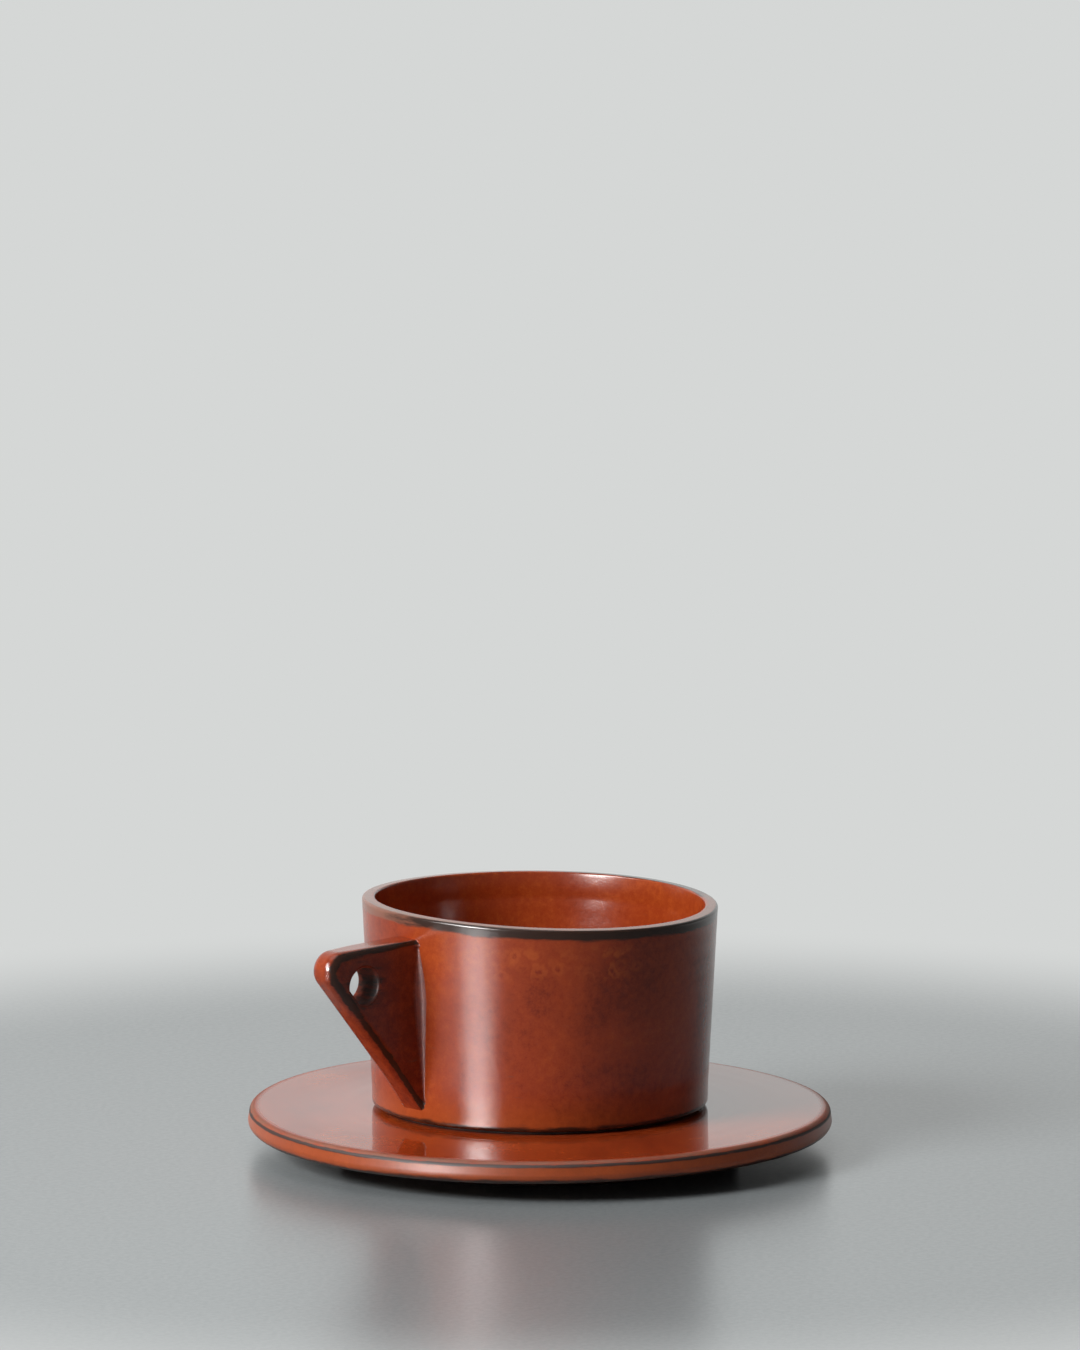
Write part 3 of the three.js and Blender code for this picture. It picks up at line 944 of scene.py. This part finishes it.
def glaze(name, grain_depth):
    """Rust-red reactive glaze: pools and mottle of maroon, rust and orange, and a fine grain."""
    n = Nodes(name)
    pools = n.noise(POOL_SIZE, 3.0, 0.55, 0.6)
    mottle = n.noise(MOTTLE_SIZE, 3.0, 0.6)
    grain = n.noise(GRAIN_SIZE, 2.0, 0.6)
    warmth = n.total(n.attribute("warm"), n.swing(pools, 1.0), n.swing(mottle, 0.6), n.swing(grain, 0.4))
    colour = n.mix(n.ramp(warmth, -0.1, 0.5), linear(MAROON), linear(RUST))
    colour = n.mix(n.ramp(warmth, 0.4, 1.0), colour, linear(ORANGE))
    colour = n.mix(n.attribute("ochre"), colour, linear(OCHRE))
    colour = edged(n, specked(n, blotched(n, colour)))
    rough = n.total(n.attribute("rough"), n.swing(mottle, ROUGH_SWING), n.swing(grain, ROUGH_SWING))
    fine = n.bump(n.math("MULTIPLY", grain, n.attribute("rough")), grain_depth)
    normal = n.bump(mottle, MOTTLE_DEPTH_SHARE * grain_depth, fine)
    n.set(base_color=colour, roughness=rough, normal=normal, ior=GLAZE_IOR)
    return n.material


def bare_clay():
    """Unglazed dark stoneware with grit."""
    n = Nodes("bare_clay")
    patches = n.noise(CLAY_PATCH_SIZE, 3.0)
    grit = n.noise(GRIT_SIZE, 3.0, 0.7)
    colour = n.mix(n.ramp(patches, 0.35, 0.65), linear(CLAY_DARK), linear(CLAY))
    colour = n.mix(n.ramp(grit, 0.55, 0.75, 0.0, 0.5), colour, linear(CLAY_DARK))
    rough = n.ramp(grit, 0.3, 0.7, 0.75, 0.95)
    n.set(base_color=colour, roughness=rough, normal=n.bump(grit, GRIT_DEPTH))
    return n.material


def seen_or_mirrored(n):
    """1 for what the camera sees, and for what is mirrored from the floor behind the object."""
    path = n.tree.nodes.new("ShaderNodeLightPath")
    back = n.tree.nodes.new("ShaderNodeVectorMath")
    back.operation = "DOT_PRODUCT"
    n.tree.links.new(n.place, back.inputs[0])
    back.inputs[1].default_value = -towards(CAMERA_AZIMUTH, 0)
    behind = n.ramp(back.outputs["Value"], 0.0, FLOOR_MIRROR_FADE)
    mirrored = n.math("MULTIPLY", path.outputs["Is Glossy Ray"], behind)
    return n.math("MAXIMUM", path.outputs["Is Camera Ray"], mirrored)


def floor_material():
    """Grey near the object, which keeps its shadow, and the backdrop's tone further out."""
    n = Nodes("floor")
    grain = n.noise(FLOOR_GRAIN_SIZE, 3.0, 0.7)
    length = n.tree.nodes.new("ShaderNodeVectorMath")
    length.operation = "LENGTH"
    n.tree.links.new(n.place, length.inputs[0])
    far = n.ramp(length.outputs["Value"], FLOOR_FADE_START, FLOOR_FADE_END)
    colour = n.mix(n.ramp(grain, 0.3, 0.7), linear(FLOOR_GREY), linear(FLOOR_DARK_GREY))
    n.set(base_color=colour, roughness=FLOOR_ROUGH, normal=n.bump(grain, FLOOR_GRAIN_DEPTH), ior=FLOOR_IOR)
    glow = n.tree.nodes.new("ShaderNodeEmission")
    glow.inputs["Color"].default_value = linear(BACKDROP_GREY)
    blend = n.tree.nodes.new("ShaderNodeMixShader")
    n.tree.links.new(n.math("MULTIPLY", far, seen_or_mirrored(n)), blend.inputs["Fac"])
    n.tree.links.new(n.shader.outputs[0], blend.inputs[1])
    n.tree.links.new(glow.outputs[0], blend.inputs[2])
    n.tree.links.new(blend.outputs[0], n.tree.nodes["Material Output"].inputs["Surface"])
    return n.material


# Stage


def make_floor():
    bpy.ops.mesh.primitive_circle_add(vertices=FLOOR_CORNERS, radius=FLOOR_RADIUS, fill_type="NGON")
    floor = bpy.context.object
    floor.name = "floor"
    floor.data.materials.append(floor_material())


def backdrop_strength(tree, path):
    """Full strength for the camera; in mirrored light bright behind the object and dim elsewhere."""
    way = tree.nodes.new("ShaderNodeTexCoord")
    dot = tree.nodes.new("ShaderNodeVectorMath")
    dot.operation = "DOT_PRODUCT"
    tree.links.new(way.outputs["Generated"], dot.inputs[0])
    dot.inputs[1].default_value = -towards(CAMERA_AZIMUTH + MIRRORED_WALL_TURN, 0)
    behind = tree.nodes.new("ShaderNodeMapRange")
    behind.interpolation_type = "SMOOTHSTEP"
    behind.inputs["From Min"].default_value = MIRRORED_WALL_START
    behind.inputs["From Max"].default_value = MIRRORED_WALL_FULL
    behind.inputs["To Min"].default_value = MIRRORED_ROOM_STRENGTH
    behind.inputs["To Max"].default_value = MIRRORED_WALL_STRENGTH
    tree.links.new(dot.outputs["Value"], behind.inputs["Value"])
    strength = tree.nodes.new("ShaderNodeMath")
    strength.operation = "MULTIPLY_ADD"
    tree.links.new(path.outputs["Is Glossy Ray"], strength.inputs[0])
    tree.links.new(behind.outputs["Result"], strength.inputs[1])
    tree.links.new(path.outputs["Is Camera Ray"], strength.inputs[2])
    return strength.outputs[0]


def make_world():
    """A dim even light, and a pale backdrop for the camera and for mirrored light."""
    world = bpy.data.worlds.new("studio")
    bpy.context.scene.world = world
    world.use_nodes = True
    tree = world.node_tree
    soft = tree.nodes["Background"]
    soft.inputs["Color"].default_value = (1, 1, 1, 1)
    soft.inputs["Strength"].default_value = AMBIENT
    path = tree.nodes.new("ShaderNodeLightPath")
    seen = tree.nodes.new("ShaderNodeBackground")
    seen.inputs["Color"].default_value = linear(BACKDROP_GREY)
    tree.links.new(backdrop_strength(tree, path), seen.inputs["Strength"])
    shown = tree.nodes.new("ShaderNodeMath")
    shown.operation = "MAXIMUM"
    tree.links.new(path.outputs["Is Camera Ray"], shown.inputs[0])
    tree.links.new(path.outputs["Is Glossy Ray"], shown.inputs[1])
    blend = tree.nodes.new("ShaderNodeMixShader")
    tree.links.new(shown.outputs[0], blend.inputs["Fac"])
    tree.links.new(soft.outputs[0], blend.inputs[1])
    tree.links.new(seen.outputs[0], blend.inputs[2])
    tree.links.new(blend.outputs[0], tree.nodes["World Output"].inputs["Surface"])


def towards(azimuth, elevation):
    """Unit direction from the object to a lamp or the camera."""
    flat = math.cos(elevation)
    return Vector((math.sin(azimuth) * flat, -math.cos(azimuth) * flat, math.sin(elevation)))


def make_lamp(name, from_camera, elevation, distance, size, watts):
    """An elliptical lamp: degrees round from the camera and above the floor, and lengths in metres."""
    data = bpy.data.lights.new(name, "AREA")
    data.shape = "ELLIPSE"
    data.size, data.size_y = size
    data.energy = watts
    lamp = bpy.data.objects.new(name, data)
    azimuth = math.degrees(CAMERA_AZIMUTH) + from_camera
    way = towards(math.radians(azimuth), math.radians(elevation))
    lamp.location = way * distance + Vector((0, 0, LAMP_AIM_HEIGHT))
    lamp.rotation_euler = way.to_track_quat("Z", "Y").to_euler()
    bpy.context.scene.collection.objects.link(lamp)
    return lamp


def make_camera():
    data = bpy.data.cameras.new("camera")
    data.sensor_width = SENSOR_MM
    data.lens = FOCAL_PIXELS / PHOTO_HEIGHT * SENSOR_MM
    camera = bpy.data.objects.new("camera", data)
    way = towards(CAMERA_AZIMUTH, 0) * CAMERA_DISTANCE
    camera.location = (way + Vector((0, 0, CAMERA_HEIGHT))) * METRES
    aim = -towards(CAMERA_AZIMUTH, CAMERA_PITCH)
    camera.rotation_euler = aim.to_track_quat("-Z", "Y").to_euler()
    bpy.context.scene.collection.objects.link(camera)
    bpy.context.scene.camera = camera


cup_glaze = glaze("cup_glaze", CUP_GRAIN_DEPTH)
saucer_glaze = glaze("saucer_glaze", SAUCER_GRAIN_DEPTH)
clay = bare_clay()

make_saucer().data.materials.append(saucer_glaze)
make_foot(
    "saucer_foot", "saucer_foot_ring", "saucer",
    SAUCER_FOOT_RADIUS, SAUCER_FOOT_WIDTH, saucer_foot_low[2], saucer_foot_high[2], SAUCER_FOOT_ROUNDING,
).data.materials.append(clay)
make_cup().data.materials.append(cup_glaze)
make_foot(
    "cup_foot", "cup_foot_ring", "cup",
    CUP_FOOT_RADIUS, CUP_FOOT_WIDTH, cup_foot_low[2], cup_foot_high[2], CUP_FOOT_ROUNDING,
).data.materials.append(clay)
make_handle().data.materials.append(cup_glaze)

make_floor()
make_world()
make_lamp("key", from_camera=-57, elevation=30, distance=1.5, size=(0.7, 0.6), watts=22)
make_lamp("top", from_camera=-90, elevation=78, distance=1.6, size=(1.2, 1.2), watts=5)
strip = make_lamp("strip", from_camera=-42, elevation=16, distance=1.3, size=(0.46, 0.34), watts=26)
strip.visible_diffuse = False
make_camera()
bpy.context.scene.view_settings.view_transform = "Standard"
